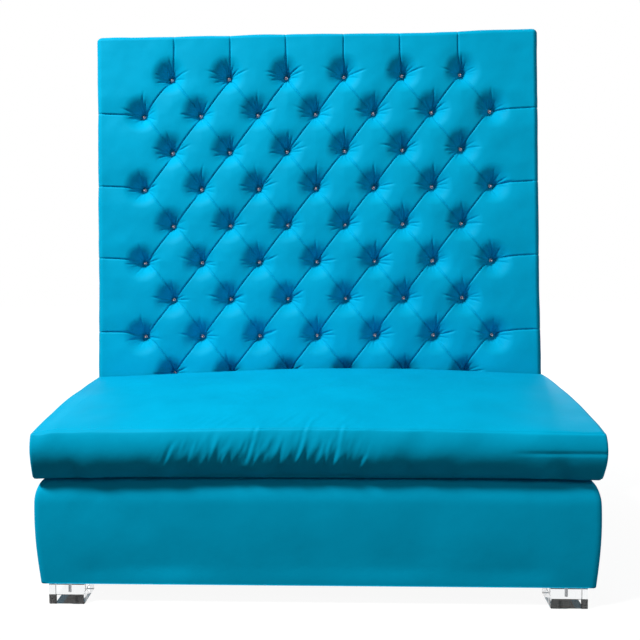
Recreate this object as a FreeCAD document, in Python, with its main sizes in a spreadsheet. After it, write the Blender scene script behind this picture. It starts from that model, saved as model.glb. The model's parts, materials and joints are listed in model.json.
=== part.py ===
import FreeCAD, Part
import math
import os
import Sketcher
from FreeCAD import Placement, Rotation, Vector

# High back settee: a deep-buttoned back on a box base, with one loose bench cushion and clear block feet.
# X runs to the right, the front faces -Y and Z is up. The floor is z = 0 and the origin is the
# middle of the footprint. All sizes are millimetres.

doc = FreeCAD.newDocument("high_back_settee")
sizes = doc.addObject("Spreadsheet::Sheet", "sizes")

DRIVING_SIZES = [
    ("overall_width", 1370, "outside width of the back and of the top of the base"),
    ("back_top", 1515, "length of the back along its slope, from the floor line to the top"),
    ("back_rake", 0.07, "how far the back leans for each millimetre of height"),
    ("front_edge", 417.5, "distance from the origin to the front of the cushion"),
    ("crown_foot", 181.5, "where the plane of the pillow crowns meets the floor"),
    ("pad_depth", 58, "thickness of the buttoned cover with its filling"),
    ("foam_depth", 27, "thickness of the foam slab behind the buttoned cover"),
    ("board_thickness", 9, "plywood tufting board"),
    ("frame_depth", 33, "depth of the back frame timbers"),
    ("panel_thickness", 3, "fabric covered panel that closes the rear"),
    ("panel_margin", 2, "from the edges of the back to the panel"),
    ("cover_wall", 12, "padded cover on the sides and top of the back"),
    ("edge_round", 34, "rounding of the back's front edges"),
    ("post_width", 70, "width of the outer upright timbers of the back"),
    ("stile_width", 45, "width of the short inner stiles of the back"),
    ("rail_width", 60, "width of the cross timbers of the back"),
    ("seat_rail_lift", 20, "from the foot of the buttoned pad to the seat rail"),
    ("side_strip", 142, "from the side of the back to the outer buttons"),
    ("tuft_margin", 132, "from the top edge to the first row of buttons"),
    ("low_tuft_margin", 130.3, "from the foot of the buttoned pad to the lowest row of buttons"),
    ("pit_depth", 51, "how deep a button sits below the pillow crowns"),
    ("pit_floor", 9, "half width of the flat floor of a pit"),
    ("fold_depth", 16, "depth of a fold half way between buttons"),
    ("strip_knee", 24, "from the outer buttons to where a side fold turns shallow"),
    ("button_radius", 8, "faceted crystal button"),
    ("button_height", 7, "height of the crystal button"),
    ("twine_width", 2, "button twine"),
    ("twine_hole", 5, "hole for the twine in foam and board"),
    ("anchor_length", 18, "toggle that holds the twine behind the board"),
    ("anchor_thickness", 2, "thickness of the toggle"),
    ("foot_height", 51, "height of the clear block feet"),
    ("foot_side", 89, "side of the square feet"),
    ("foot_inset", 28, "from the outside of the settee to a foot"),
    ("foot_setback", 35, "from the front of the cushion to a front foot"),
    ("rear_foot_line", 238, "middle of the rear feet"),
    ("foot_chamfer", 1.5, "bevel on the edges of the feet"),
    ("bolt_radius", 4, "hanger bolt in a foot"),
    ("bolt_in_foot", 32, "depth of the bolt in the foot"),
    ("bolt_in_block", 30, "length of the bolt above the foot"),
    ("insert_radius", 6.5, "threaded insert in a corner block"),
    ("dust_cover_thickness", 1, "cloth under the base"),
    ("seat_top", 317, "top of the base, where the cushion lies"),
    ("base_setback", 20, "from the front of the cushion to the front of the base"),
    ("base_taper", 11, "how much narrower the base is at the bottom, on each side"),
    ("base_round", 48, "rounding of the base's top edges"),
    ("base_corner", 22, "rounding of the base's front corners"),
    ("base_padding", 15, "padding and cover over the base rails at the bottom"),
    ("deck_cover", 5, "thickness of the base cover over the deck"),
    ("base_timber", 25, "thickness of the base rails"),
    ("middle_rail_lift", 60, "room for the hand under the middle rail"),
    ("rail_top", 280, "top of the base rails"),
    ("block_side", 60, "side of the corner blocks"),
    ("block_height", 90, "height of the corner blocks"),
    ("strap_width", 55, "width of the seat webbing"),
    ("strap_thickness", 1.5, "thickness of the seat webbing"),
    ("strap_margin", 2, "from the end of a strap to the outside of its rail"),
    ("strap_step", 110, "distance from strap to strap"),
    ("cross_step", 150, "distance from cross strap to cross strap"),
    ("deck_inset", 45, "from the outside of the base to the deck pad"),
    ("cushion_height", 126, "height of the cushion's front boxing"),
    ("cushion_rear_rise", 31, "how far the rear seam lies above the front one, in the middle"),
    ("cushion_end_rise", 8, "the same at the ends"),
    ("cushion_crown", 16, "rise of the cushion's top above its seams"),
    ("cushion_end_crown", 7, "rise of the cushion's top at its ends"),
    ("cushion_inset", 6, "from the outside of the settee to the cushion's corners"),
    ("cushion_bulge", 5, "how far the boxing swells"),
    ("cushion_draw", 6, "how far the front edge pulls in between the corners"),
    ("cushion_gap", 6, "gap from the cushion to the pillow crowns"),
    ("cushion_cloth", 4, "cover of the cushion with its wadding"),
    ("cloth_gap", 0.3, "clearance between soft pieces"),
    ("zip_half", 560, "half the length of the zip"),
    ("zip_width", 24, "width of the zip tape"),
    ("zip_thickness", 1.2, "thickness of the zip tape"),
    ("zip_height", 62, "height of the zip above the deck"),
    ("slider_length", 12, "length of the zip slider"),
    ("slider_width", 8, "width of the zip slider"),
    ("slider_thickness", 2.5, "thickness of the zip slider"),
    ("frame_bolt_radius", 4, "bolts that join the back to the base"),
    ("bolt_head_radius", 8, "heads of the joining bolts"),
    ("bolt_head_height", 4, "height of the heads of the joining bolts"),
    ("low_bolt", 175, "height of the lower joining bolts"),
    ("high_bolt", 250, "height of the upper joining bolts"),
]
for line, (alias, value, meaning) in enumerate(DRIVING_SIZES, start=1):
    sizes.set(f"A{line}", str(value))
    sizes.setAlias(f"A{line}", alias)
    sizes.set(f"B{line}", meaning)
doc.recompute()

# The worked-out lines below are written once, as expressions of the sheet's cells
HALF = "sizes.overall_width / 2"
FRONT = "(0 - sizes.front_edge)"
SLOPE = "sqrt(1 + sizes.back_rake * sizes.back_rake)"
BOARD_FRONT = "(sizes.pad_depth + sizes.foam_depth)"
FRAME_FRONT = f"({BOARD_FRONT} + sizes.board_thickness)"
FRAME_REAR = f"({FRAME_FRONT} + sizes.frame_depth)"
BACK_INSIDE = f"({HALF} - sizes.cover_wall)"
FRAME_TOP = "(sizes.back_top - sizes.cover_wall)"
BASE_BOTTOM = "(sizes.foot_height + sizes.dust_cover_thickness)"
RAIL_OUTSIDE = f"({HALF} - sizes.base_taper - sizes.base_padding)"
RAIL_INSIDE = f"({RAIL_OUTSIDE} - sizes.base_timber)"
BASE_FRONT = f"({FRONT} + sizes.base_setback)"
RAIL_FRONT = f"({BASE_FRONT} + sizes.base_taper + sizes.base_padding)"
BACK_RAIL_FRONT = f"({FRAME_FRONT} - sizes.base_timber)"
FOOT_X = f"({HALF} - sizes.foot_inset - sizes.foot_side / 2)"
FRONT_FOOT_Y = f"({FRONT} + sizes.foot_setback + sizes.foot_side / 2)"
PAD_BOTTOM = f"((sizes.seat_top + sizes.cloth_gap) * {SLOPE} + {FRAME_FRONT} * sizes.back_rake)"
FRAME_FOOT = f"({BASE_BOTTOM} * {SLOPE} + {FRAME_REAR} * sizes.back_rake)"
DECK_FLOOR = "(sizes.rail_top + 2 * sizes.strap_thickness)"
DECK_TOP = "(sizes.seat_top - sizes.deck_cover)"
BEYOND = "(2 * sizes.overall_width)"

# Buttons sit in offset rows of six and seven: a step is half the distance between two buttons of a row
BUTTON_ROWS = 9
LAST_STEP = 6
TUFT_STEP = f"(({HALF} - sizes.side_strip) / {LAST_STEP})"
TUFT_PITCH = (f"((sizes.back_top - sizes.tuft_margin - sizes.low_tuft_margin - {PAD_BOTTOM})"
              f" / {BUTTON_ROWS - 1})")


def number(expression):
    """Value of an expression of the sheet's cells."""
    return float(sizes.evalExpression(expression))


def leaned(depth, up):
    """Y and Z of a point of the back, from its depth behind the crowns and its height on the slope."""
    y = f"sizes.crown_foot + (({depth}) + ({up}) * sizes.back_rake) / {SLOPE}"
    z = f"(({up}) - ({depth}) * sizes.back_rake) / {SLOPE}"
    return y, z


def slant_y(depth, z):
    """Y of the back's plane at a depth behind the crowns, at a level height."""
    return f"sizes.crown_foot + ({depth}) * {SLOPE} + ({z}) * sizes.back_rake"


def origin_plane(body, role):
    """The body's own origin plane of that role."""
    return [f for f in body.Origin.OriginFeatures if f.Role == role][0]


def outline(body, name, role, corners, offset="0"):
    """A closed sketch of straight lines whose corners are tied to the sheet."""
    sketch = body.newObject("Sketcher::SketchObject", name)
    sketch.AttachmentSupport = [(origin_plane(body, role), "")]
    sketch.MapMode = "FlatFace"
    sketch.setExpression("AttachmentOffset.Base.z", offset)
    places = [(number(x), number(y)) for x, y in corners]
    count = len(places)
    for i, (x, y) in enumerate(places):
        end = places[(i + 1) % count]
        sketch.addGeometry(Part.LineSegment(Vector(x, y, 0), Vector(end[0], end[1], 0)), False)
    for i in range(count):
        sketch.addConstraint(Sketcher.Constraint("Coincident", i, 2, (i + 1) % count, 1))
    for i, (x, y) in enumerate(places):
        for kind, value, expression in (("DistanceX", x, corners[i][0]), ("DistanceY", y, corners[i][1])):
            index = sketch.addConstraint(Sketcher.Constraint(kind, -1, 1, i, 1, value))
            sketch.renameConstraint(index, f"{kind}{i}")
            sketch.setExpression(f"Constraints.{kind}{i}", expression)
    return sketch


def push(body, sketch, name, length, kind="PartDesign::Pad", backwards=False):
    """A pad or pocket of a sketch, with its length tied to the sheet."""
    feature = body.newObject(kind, name)
    feature.Profile = sketch
    feature.Reversed = backwards
    feature.setExpression("Length", length)
    return feature


def prism_body(label, role, corners, start, length):
    """A timber or slab: a straight-sided outline pushed along the plane's normal."""
    body = doc.addObject("PartDesign::Body", label)
    body.Label = label
    sketch = outline(body, label + "_outline", role, corners, start)
    push(body, sketch, label + "_pad", length)
    return body


def leaned_corners(depth_from, depth_to, up_from, up_to):
    """Corners, in the side view, of a slab that lies in the back."""
    return [leaned(depth_from, up_from), leaned(depth_to, up_from),
            leaned(depth_to, up_to), leaned(depth_from, up_to)]


def level_box(label, low, size):
    """A box with its faces along the axes, tied to the sheet."""
    box = doc.addObject("Part::Box", label)
    box.Label = label
    for axis, expression in zip("xyz", low):
        box.setExpression(f"Placement.Base.{axis}", expression)
    for side, expression in zip(("Length", "Width", "Height"), size):
        box.setExpression(side, expression)
    return box


def upright_cylinder(label, radius, height, place):
    """A round bar along Z, tied to the sheet."""
    bar = doc.addObject("Part::Cylinder", label)
    bar.Label = label
    bar.setExpression("Radius", radius)
    bar.setExpression("Height", height)
    for axis, expression in zip("xyz", place):
        bar.setExpression(f"Placement.Base.{axis}", expression)
    return bar


def group(label, members):
    """Separate solids that share one node."""
    compound = doc.addObject("Part::Compound", label)
    compound.Label = label
    compound.Links = members
    return compound


def cut(label, base, tools):
    """A piece with other shapes taken out of it."""
    result = doc.addObject("Part::Cut", label)
    result.Label = label
    result.Base = base
    result.Tool = tools[0] if len(tools) == 1 else group(label + "_tools", tools)
    return result


def plain_feature(label, shape):
    """A piece whose shape is worked out from the sheet's values."""
    feature = doc.addObject("Part::Feature", label)
    feature.Label = label
    feature.Shape = shape
    return feature


SIDES = (("left", -1), ("right", 1))
nodes = []


# Base frame: two side rails, a front, a middle and a slanted back rail, and glued corner blocks
def base_frame():
    pieces = []
    rail_height = f"sizes.rail_top - {BASE_BOTTOM}"
    side_corners = [
        (RAIL_FRONT, BASE_BOTTOM),
        (slant_y(FRAME_FRONT, BASE_BOTTOM), BASE_BOTTOM),
        (slant_y(FRAME_FRONT, "sizes.rail_top"), "sizes.rail_top"),
        (RAIL_FRONT, "sizes.rail_top"),
    ]
    for side, sign in SIDES:
        start = RAIL_INSIDE if sign > 0 else f"0 - {RAIL_OUTSIDE}"
        pieces.append(prism_body(f"base_side_rail_{side}", "YZ_Plane", side_corners, start, "sizes.base_timber"))
    pieces.append(level_box(
        "base_front_rail",
        (f"0 - {RAIL_INSIDE}", RAIL_FRONT, BASE_BOTTOM),
        (f"2 * {RAIL_INSIDE}", "sizes.base_timber", rail_height),
    ))
    middle_front = f"{RAIL_FRONT} + sizes.base_timber"
    middle_foot = f"({BASE_BOTTOM} + sizes.middle_rail_lift)"
    middle_corners = [
        (middle_front, middle_foot),
        (slant_y(BACK_RAIL_FRONT, middle_foot), middle_foot),
        (slant_y(BACK_RAIL_FRONT, "sizes.rail_top"), "sizes.rail_top"),
        (middle_front, "sizes.rail_top"),
    ]
    pieces.append(prism_body("base_middle_rail", "YZ_Plane", middle_corners,
                             "0 - sizes.base_timber / 2", "sizes.base_timber"))
    rail_foot = f"({BASE_BOTTOM} * {SLOPE} + {FRAME_FRONT} * sizes.back_rake)"
    rail_head = f"(sizes.rail_top * {SLOPE} + {BACK_RAIL_FRONT} * sizes.back_rake)"
    back_rail = prism_body("base_back_rail_timber", "YZ_Plane",
                           leaned_corners(BACK_RAIL_FRONT, FRAME_FRONT, rail_foot, rail_head),
                           f"0 - {RAIL_INSIDE}", f"2 * {RAIL_INSIDE}")
    pieces.append(cut("base_back_rail", back_rail, joining_bolt_bars("base_back_rail", "frame_bolt_radius")))
    return pieces


def joining_bolt_places():
    """X and height of each bolt through a back post and the base's back rail."""
    for side, sign in SIDES:
        for level in ("low_bolt", "high_bolt"):
            x = f"{sign} * ({RAIL_INSIDE} + {BACK_INSIDE} - sizes.post_width) / 2"
            yield f"{side}_{level}", x, f"sizes.{level}"


def leaned_bar(label, radius, x, depth, up, length):
    """A round bar that lies square to the back's slope, pointing to the rear."""
    bar = doc.addObject("Part::Cylinder", label)
    bar.Placement = Placement(Vector(0, 0, 0), Rotation(Vector(1, 0, 0), -90))
    bar.setExpression("Placement.Rotation.Angle", "-90 deg - atan(sizes.back_rake)")
    bar.setExpression("Radius", radius)
    bar.setExpression("Height", length)
    y, z = leaned(depth, up)
    for axis, expression in zip("xyz", (x, y, z)):
        bar.setExpression(f"Placement.Base.{axis}", expression)
    return bar


def joining_bolt_bars(label, radius_alias):
    """Bars where the joining bolts pass through the rail and the posts."""
    return [
        leaned_bar(f"{label}_{name}_bar", f"sizes.{radius_alias}", x, BACK_RAIL_FRONT, up,
                   "sizes.base_timber + sizes.frame_depth")
        for name, x, up in joining_bolt_places()
    ]


def joining_bolts():
    """Bolts with round heads in front of the back rail, threaded into the posts."""
    bolts = []
    for name, x, up in joining_bolt_places():
        shank = leaned_bar(f"bolt_{name}_shank", "sizes.frame_bolt_radius", x, BACK_RAIL_FRONT, up,
                           "sizes.base_timber + sizes.frame_depth")
        head = leaned_bar(f"bolt_{name}_head", "sizes.bolt_head_radius", x,
                          f"{BACK_RAIL_FRONT} - sizes.bolt_head_height", up, "sizes.bolt_head_height")
        bolt = doc.addObject("Part::Fuse", f"bolt_{name}")
        bolt.Base = head
        bolt.Tool = shank
        bolts.append(bolt)
    return group("joining_bolts", bolts)


# Corner blocks, each bored for the threaded insert that takes a foot's bolt
def foot_places():
    """Name, X and Y of the middle of each foot."""
    for row, y in (("front", FRONT_FOOT_Y), ("rear", "sizes.rear_foot_line")):
        for side, sign in SIDES:
            yield f"{row}_{side}", f"{sign} * {FOOT_X}", y


def corner_blocks():
    blocks = []
    for side, sign in SIDES:
        x = f"{RAIL_INSIDE} - sizes.block_side" if sign > 0 else f"0 - {RAIL_INSIDE}"
        block = level_box(f"front_{side}_block", (x, f"{RAIL_FRONT} + sizes.base_timber", BASE_BOTTOM),
                          ("sizes.block_side", "sizes.block_side", "sizes.block_height"))
        blocks.append(bored_block(f"front_{side}", block))
        top = f"({BASE_BOTTOM} + sizes.block_height)"
        front = "sizes.rear_foot_line - sizes.block_side / 2"
        corners = [(front, BASE_BOTTOM), (slant_y(BACK_RAIL_FRONT, BASE_BOTTOM), BASE_BOTTOM),
                   (slant_y(BACK_RAIL_FRONT, top), top), (front, top)]
        body = prism_body(f"rear_{side}_block", "YZ_Plane", corners, x, "sizes.block_side")
        blocks.append(bored_block(f"rear_{side}", body))
    return group("corner_blocks", blocks)


def bored_block(name, block):
    x, y = [(x, y) for place, x, y in foot_places() if place == name][0]
    bore = upright_cylinder(f"{name}_insert_bore", "sizes.insert_radius", "sizes.bolt_in_block",
                            (x, y, BASE_BOTTOM))
    return cut(f"{name}_bored_block", block, [bore])


def foot_inserts():
    inserts = []
    for name, x, y in foot_places():
        place = (x, y, BASE_BOTTOM)
        sleeve = upright_cylinder(f"{name}_sleeve", "sizes.insert_radius", "sizes.bolt_in_block", place)
        thread = upright_cylinder(f"{name}_thread", "sizes.bolt_radius", "sizes.bolt_in_block", place)
        inserts.append(cut(f"{name}_insert", sleeve, [thread]))
    return group("foot_inserts", inserts)


# Clear feet: bevelled blocks with a blind bore for the hanger bolt
def feet():
    pieces = []
    for name, x, y in foot_places():
        body = doc.addObject("PartDesign::Body", f"foot_{name}")
        body.Label = f"foot_{name}"
        half = "sizes.foot_side / 2"
        corners = [(f"{x} - {half}", f"{y} - {half}"), (f"{x} + {half}", f"{y} - {half}"),
                   (f"{x} + {half}", f"{y} + {half}"), (f"{x} - {half}", f"{y} + {half}")]
        sketch = outline(body, f"foot_{name}_outline", "XY_Plane", corners)
        push(body, sketch, f"foot_{name}_block", "sizes.foot_height")
        doc.recompute()
        block = body.Tip
        bevel = body.newObject("PartDesign::Chamfer", f"foot_{name}_bevel")
        bevel.Base = (block, [f"Edge{i + 1}" for i in range(len(block.Shape.Edges))])
        bevel.setExpression("Size", "sizes.foot_chamfer")
        doc.recompute()
        circle = body.newObject("Sketcher::SketchObject", f"foot_{name}_bore_circle")
        circle.AttachmentSupport = [(origin_plane(body, "XY_Plane"), "")]
        circle.MapMode = "FlatFace"
        circle.setExpression("AttachmentOffset.Base.z", "sizes.foot_height - sizes.bolt_in_foot")
        middle = Vector(number(x), number(y), 0)
        bore = number("sizes.bolt_radius")
        circle.addGeometry(Part.Circle(middle, Vector(0, 0, 1), bore), False)
        for label, kind, expression in (("across", "DistanceX", x), ("along", "DistanceY", y)):
            index = circle.addConstraint(Sketcher.Constraint(kind, -1, 1, 0, 3, number(expression)))
            circle.renameConstraint(index, label)
            circle.setExpression(f"Constraints.{label}", expression)
        index = circle.addConstraint(Sketcher.Constraint("Radius", 0, bore))
        circle.renameConstraint(index, "bore")
        circle.setExpression("Constraints.bore", "sizes.bolt_radius")
        push(body, circle, f"foot_{name}_bore", "sizes.bolt_in_foot", "PartDesign::Pocket", True)
        pieces.append(body)
    return pieces


def hanger_bolts():
    bolts = []
    for name, x, y in foot_places():
        place = (x, y, "sizes.foot_height - sizes.bolt_in_foot")
        length = "sizes.bolt_in_foot + sizes.dust_cover_thickness + sizes.bolt_in_block"
        bolts.append(upright_cylinder(f"{name}_hanger_bolt", "sizes.bolt_radius", length, place))
    return group("foot_hanger_bolts", bolts)


def dust_cover():
    """Cloth under the base, pierced by the bolts of the feet."""
    rear = slant_y(FRAME_FRONT, "sizes.foot_height")
    corners = [(f"0 - {RAIL_OUTSIDE}", RAIL_FRONT), (RAIL_OUTSIDE, RAIL_FRONT),
               (RAIL_OUTSIDE, rear), (f"0 - {RAIL_OUTSIDE}", rear)]
    sheet = prism_body("dust_cloth", "XY_Plane", corners, "sizes.foot_height", "sizes.dust_cover_thickness")
    holes = [upright_cylinder(f"{name}_cloth_hole", "sizes.bolt_radius", "sizes.foot_height",
                              (x, y, "sizes.foot_height / 2")) for name, x, y in foot_places()]
    return cut("dust_cover", sheet, holes)


# Seat deck: webbing straps, a foam pad and the fitted cover of the base
LONG_STRAPS = 11
CROSS_STRAPS = 3


def webbing():
    straps = []
    front = f"({RAIL_FRONT} + sizes.strap_margin)"
    rear = slant_y(FRAME_FRONT, "sizes.rail_top")
    for i in range(LONG_STRAPS):
        middle = f"{i - (LONG_STRAPS - 1) / 2} * sizes.strap_step"
        straps.append(level_box(
            f"long_strap_{i + 1}",
            (f"{middle} - sizes.strap_width / 2", front, "sizes.rail_top"),
            ("sizes.strap_width", f"{rear} - sizes.strap_margin - {front}", "sizes.strap_thickness"),
        ))
    side = f"({RAIL_OUTSIDE} - sizes.strap_margin)"
    for i in range(CROSS_STRAPS):
        middle = f"({RAIL_FRONT} + {i + 1} * sizes.cross_step)"
        straps.append(level_box(
            f"cross_strap_{i + 1}",
            (f"0 - {side}", f"{middle} - sizes.strap_width / 2", "sizes.rail_top + sizes.strap_thickness"),
            (f"2 * {side}", "sizes.strap_width", "sizes.strap_thickness"),
        ))
    return group("seat_webbing", straps)


def deck_pad():
    corners = [
        (f"{FRONT} + sizes.base_setback + sizes.deck_inset", DECK_FLOOR),
        (slant_y(FRAME_FRONT, DECK_FLOOR), DECK_FLOOR),
        (slant_y(FRAME_FRONT, DECK_TOP), DECK_TOP),
        (f"{FRONT} + sizes.base_setback + sizes.deck_inset", DECK_TOP),
    ]
    half = f"({HALF} - sizes.deck_inset)"
    return prism_body("deck_pad", "YZ_Plane", corners, f"0 - {half}", f"2 * {half}")


def base_cover():
    """Padded cover of the base, open below and at the rear, with rounded top edges."""
    body = doc.addObject("PartDesign::Body", "base_cover")
    body.Label = "base_cover"
    low = f"({HALF} - sizes.base_taper)"
    front_view = [(f"0 - {low}", "sizes.foot_height"), (low, "sizes.foot_height"),
                  (HALF, "sizes.seat_top"), (f"0 - {HALF}", "sizes.seat_top")]
    sketch = outline(body, "base_front_view", "XZ_Plane", front_view)
    solid = push(body, sketch, "base_block", BEYOND)
    solid.Midplane = True
    doc.recompute()
    front_waste = [
        (f"0 - {BEYOND}", "sizes.foot_height"), (f"{BASE_FRONT} + sizes.base_taper", "sizes.foot_height"),
        (BASE_FRONT, "sizes.seat_top"), (f"0 - {BEYOND}", "sizes.seat_top"),
    ]
    rear_waste = [
        (slant_y(FRAME_FRONT, "0"), "0"), (BEYOND, "0"), (BEYOND, BEYOND),
        (slant_y(FRAME_FRONT, BEYOND), BEYOND),
    ]
    for name, waste in (("base_front_trim", front_waste), ("base_rear_trim", rear_waste)):
        trim = push(body, outline(body, name + "_view", "YZ_Plane", waste), name, BEYOND, "PartDesign::Pocket")
        trim.Midplane = True
        doc.recompute()
    add_base_rounds(body)
    half = f"({HALF} - sizes.deck_inset)"
    for name, width, bottom, top, front in (
        ("rail_room", RAIL_OUTSIDE, "0", DECK_FLOOR, RAIL_FRONT),
        ("deck_room", half, DECK_FLOOR, DECK_TOP, f"{BASE_FRONT} + sizes.deck_inset"),
    ):
        corners = [(front, bottom), (BEYOND, bottom), (BEYOND, top), (front, top)]
        room = push(body, outline(body, name + "_view", "YZ_Plane", corners), name,
                    f"2 * {width}", "PartDesign::Pocket")
        room.Midplane = True
        doc.recompute()
    return body


def add_base_rounds(body):
    """Soft front corners first, then the rounding round the top."""
    corners = []
    for i, edge in enumerate(body.Shape.Edges):
        box = edge.BoundBox
        if box.YMax < number(RAIL_FRONT) and box.ZLength > box.XLength:
            corners.append(f"Edge{i + 1}")
    block = body.Tip
    fillet = body.newObject("PartDesign::Fillet", "base_corner_round")
    fillet.Base = (block, corners)
    fillet.setExpression("Radius", "sizes.base_corner")
    doc.recompute()
    rim = []
    for i, edge in enumerate(body.Shape.Edges):
        box = edge.BoundBox
        if box.ZMin > number(DECK_TOP) and box.YMin < 0:
            rim.append(f"Edge{i + 1}")
    block = body.Tip
    fillet = body.newObject("PartDesign::Fillet", "base_top_round")
    fillet.Base = (block, rim)
    fillet.setExpression("Radius", "sizes.base_round")
    doc.recompute()


# Back frame: posts, cross rails and short stiles, all lying in the leaned plane of the back
STILE_STEP = 2.5


def back_frame():
    pieces = []
    for side, sign in SIDES:
        start = f"{BACK_INSIDE} - sizes.post_width" if sign > 0 else f"0 - {BACK_INSIDE}"
        post = prism_body(f"back_post_{side}_timber", "YZ_Plane",
                          leaned_corners(FRAME_FRONT, FRAME_REAR, FRAME_FOOT, FRAME_TOP),
                          start, "sizes.post_width")
        pieces.append(cut(f"back_post_{side}", post, joining_bolt_bars(f"back_post_{side}", "frame_bolt_radius")))
    half = f"({BACK_INSIDE} - sizes.post_width)"
    for name, low in rail_places():
        pieces.append(prism_body(f"back_{name}_rail", "YZ_Plane",
                                 leaned_corners(FRAME_FRONT, FRAME_REAR, low, f"{low} + sizes.rail_width"),
                                 f"0 - {half}", f"2 * {half}"))
    stiles = []
    places = [low for name, low in rail_places()]
    for level in range(1, len(places) - 1):
        for side, sign in SIDES:
            middle = f"{sign * STILE_STEP} * {TUFT_STEP}"
            stiles.append(prism_body(
                f"stile_{side}_{level}", "YZ_Plane",
                leaned_corners(FRAME_FRONT, FRAME_REAR, f"{places[level]} + sizes.rail_width", places[level + 1]),
                f"{middle} - sizes.stile_width / 2", "sizes.stile_width"))
    pieces.append(group("back_stiles", stiles))
    return pieces


def row_up(row):
    """Height on the slope of a row of buttons, counted from the top."""
    return f"(sizes.back_top - sizes.tuft_margin - {row - 1} * {TUFT_PITCH})"


def rail_places():
    """Cross rails of the back and the height of their lower edges on the slope."""
    yield "bottom", FRAME_FOOT
    yield "seat", f"({PAD_BOTTOM} + sizes.seat_rail_lift)"
    for name, row in (("middle", 6), ("upper", 3)):
        yield name, f"({row_up(row)} - {TUFT_PITCH} / 2 - sizes.rail_width / 2)"
    yield "top", f"({FRAME_TOP} - sizes.rail_width)"


# The buttons and what ties them to the board
def button_steps(row):
    """Steps from the middle at which a row has its buttons."""
    return [k for k in range(-LAST_STEP, LAST_STEP + 1) if (k + row) % 2 == 0]


def button_places():
    """X and height on the slope of every button."""
    for row in range(1, BUTTON_ROWS + 1):
        up = number(row_up(row))
        for k in button_steps(row):
            yield k * number(TUFT_STEP), up


def leaned_placement(piece):
    """Lay a piece, made upright, in the leaned plane of the back."""
    angle = -math.degrees(math.atan(number("sizes.back_rake")))
    piece.Placement = Placement(Vector(0, number("sizes.crown_foot"), 0), Rotation(Vector(1, 0, 0), angle))
    piece.setExpression("Placement.Base.y", "sizes.crown_foot")
    piece.setExpression("Placement.Rotation.Angle", "-1 * atan(sizes.back_rake)")
    return piece


def post_block(x, depth, up, width, thickness, height):
    """A small block centred on X and height, starting at a depth."""
    return Part.makeBox(width, thickness, height, Vector(x - width / 2, depth, up - height / 2))


def octagon(x, depth, up, radius):
    corners = []
    for i in range(8):
        turn = math.pi * (i + 0.5) / 4
        corners.append(Vector(x + radius * math.cos(turn), depth, up + radius * math.sin(turn)))
    return Part.makePolygon(corners + corners[:1])


FACET_SHARE = 0.55


def crystal_buttons():
    base = number("sizes.pit_depth")
    radius = number("sizes.button_radius")
    height = number("sizes.button_height")
    buttons = []
    for x, up in button_places():
        rings = [octagon(x, base, up, radius), octagon(x, base - height * FACET_SHARE, up, radius),
                 octagon(x, base - height, up, radius * FACET_SHARE)]
        buttons.append(Part.makeLoft(rings, True, True))
    return leaned_placement(plain_feature("crystal_buttons", Part.makeCompound(buttons)))


def button_twines():
    base = number("sizes.pit_depth")
    width = number("sizes.twine_width")
    length = number(FRAME_FRONT) - base
    twines = [post_block(x, base, up, width, length, width) for x, up in button_places()]
    return leaned_placement(plain_feature("button_twines", Part.makeCompound(twines)))


def twine_anchors():
    depth = number(FRAME_FRONT)
    length = number("sizes.anchor_length")
    thickness = number("sizes.anchor_thickness")
    anchors = [post_block(x, depth, up, length, thickness, length / 3) for x, up in button_places()]
    return leaned_placement(plain_feature("twine_anchors", Part.makeCompound(anchors)))


def twine_holes(depth, thickness):
    width = number("sizes.twine_hole")
    return Part.makeCompound([post_block(x, depth, up, width, thickness, width) for x, up in button_places()])


def leaned_slab(label, depth, thickness):
    """A slab of the back from the pad's foot to under the top cover, pierced for the twines."""
    inside = number(BACK_INSIDE)
    low = number(PAD_BOTTOM)
    high = number(FRAME_TOP)
    slab = Part.makeBox(2 * inside, thickness, high - low, Vector(-inside, depth, low))
    pierced = slab.cut(twine_holes(depth - thickness, 3 * thickness))
    return leaned_placement(plain_feature(label, pierced))


# The buttoned cover. Its front is laid out level by level, from the top edge down: at each level the
# pillows are bows between fold bottoms, and flat facets join one level to the next
BOW_PARTS = 6
EDGE_PARTS = 3
STRIP_CORNERS = 3
ROUND_STEPS = (90, 55, 25)
LEVEL_SHARES = (0.0, 0.2, 0.5, 0.8)
LAST_SHARES = (0.0, 0.2, 0.5, 1.0)
CROWN_POWER = 4
FOLD_POWER = 2.5
STRIP_SHARE = 0.8
FOLD_CLOSING = 0.9
FLAT_RISE = 0.3


def bow(start, end, crown):
    """Points of a bow over a pillow, from fold bottom to fold bottom, without its first point."""
    width = (end[0] - start[0]) / 2
    rise = start[1] - crown
    middle = (start[0] + end[0]) / 2
    if rise < FLAT_RISE:
        return [(start[0] + 2 * width * i / BOW_PARTS, start[1]) for i in range(1, BOW_PARTS + 1)]
    radius = (width * width + rise * rise) / (2 * rise)
    reach = math.atan2(width, radius - rise)
    turns = [reach * (2 * i / BOW_PARTS - 1) for i in range(1, BOW_PARTS + 1)]
    return [(middle + radius * math.sin(turn), crown + radius * (1 - math.cos(turn))) for turn in turns]


def half_front(crown, fold_x, fold_depth, strip):
    """Points from the right-hand wall inwards to the first fold: rounding, side strip, half a pillow."""
    half = number(HALF)
    edge = number("sizes.edge_round")
    pit = number("sizes.pit_depth")
    last = LAST_STEP * number(TUFT_STEP)
    floor = number("sizes.pit_floor")
    shallow = number("sizes.fold_depth") * strip
    points = []
    for i in range(EDGE_PARTS + 1):
        turn = math.pi / 2 * i / EDGE_PARTS
        points.append((half - edge * (1 - math.cos(turn)), edge - (edge - shallow) * math.sin(turn)))
    points.append((last + floor + number("sizes.strip_knee"), pit * strip / 2))
    points.append((last + floor, crown))
    points.append((last, crown))
    full = bow((2 * last - fold_x, fold_depth), (fold_x, fold_depth), crown)
    return points + full[-(BOW_PARTS // 2):]


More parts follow.
